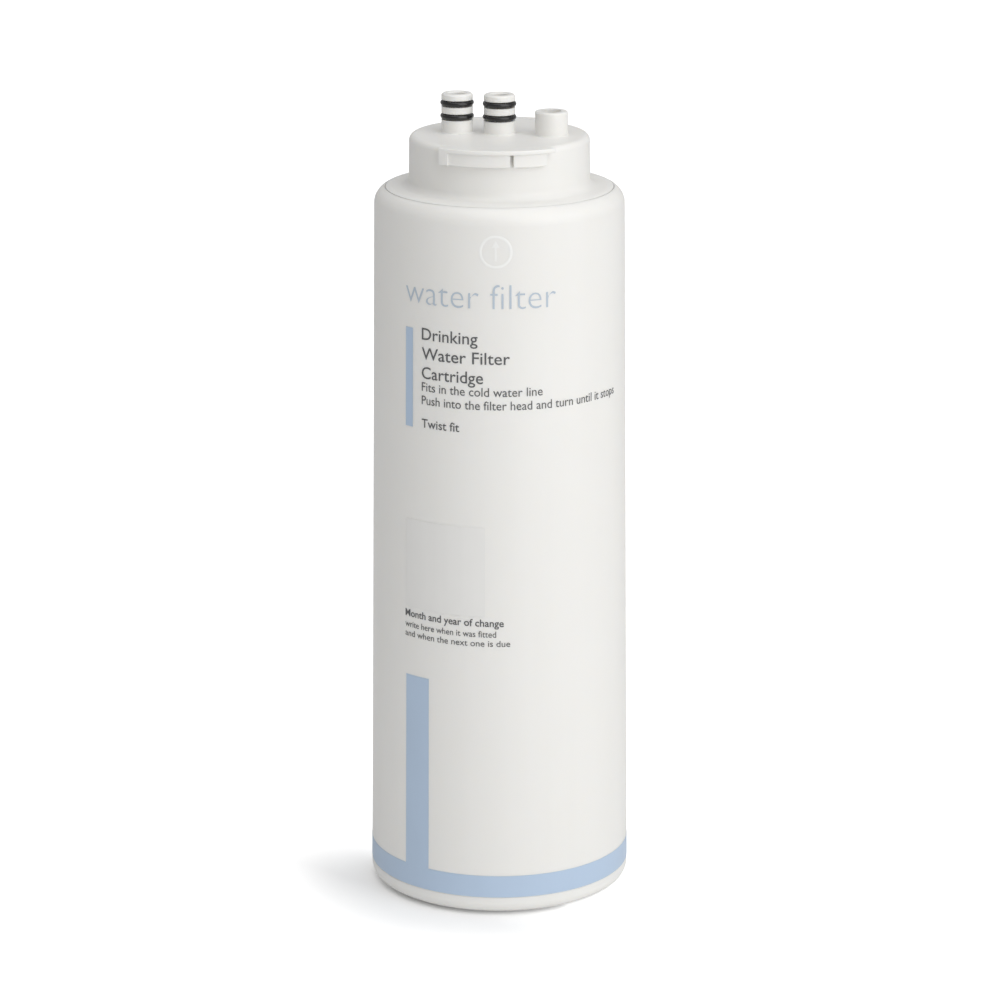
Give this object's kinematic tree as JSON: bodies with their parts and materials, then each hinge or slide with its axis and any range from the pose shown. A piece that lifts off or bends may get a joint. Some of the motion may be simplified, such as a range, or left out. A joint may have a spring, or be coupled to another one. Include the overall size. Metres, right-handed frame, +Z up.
{
  "type": "inline water filter cartridge",
  "caption": "Sealed quick-change carbon block water filter cartridge: tall drafted white body, short neck with bayonet lugs, side-by-side O-ring port stems and a key post on top.",
  "frame": {"origin": "on the cartridge's axis, at the level the feet stand on", "axes": "+Z up along the cartridge's axis towards the ports, -Y the printed front, +X from the inlet stem towards the key post"},
  "size_m": [0.0884, 0.0884, 0.2725],
  "materials": {
    "white_polypropylene": "semi-gloss moulded polypropylene",
    "label_film": "matt write-on film",
    "black_nitrile": "greased nitrile rubber",
    "natural_polypropylene": "natural moulded polypropylene",
    "net_polyethylene": "extruded net",
    "pressed_carbon": "rough pressed carbon",
    "non_woven": "soft non-woven",
    "hot_melt": "cloudy adhesive",
    "pad_elastomer": "matt elastomer"
  },
  "bodies": {
    "root": {"housing_shell": "white_polypropylene", "port_head": "white_polypropylene", "bottom_cap": "white_polypropylene", "date_patch": "label_film", "inlet_oring_lower": "black_nitrile", "inlet_oring_upper": "black_nitrile", "outlet_oring_lower": "black_nitrile", "outlet_oring_upper": "black_nitrile", "spigot_oring_lower": "black_nitrile", "spigot_oring_upper": "black_nitrile", "upper_end_cap": "natural_polypropylene", "lower_end_cap": "natural_polypropylene", "core_tube": "natural_polypropylene", "outer_netting": "net_polyethylene", "carbon_block": "pressed_carbon", "prefilter_wrap": "non_woven", "core_wrap": "non_woven", "upper_bond_ring": "hot_melt", "lower_bond_ring": "hot_melt", "support_pad": "pad_elastomer"}
  },
  "joints": []
}
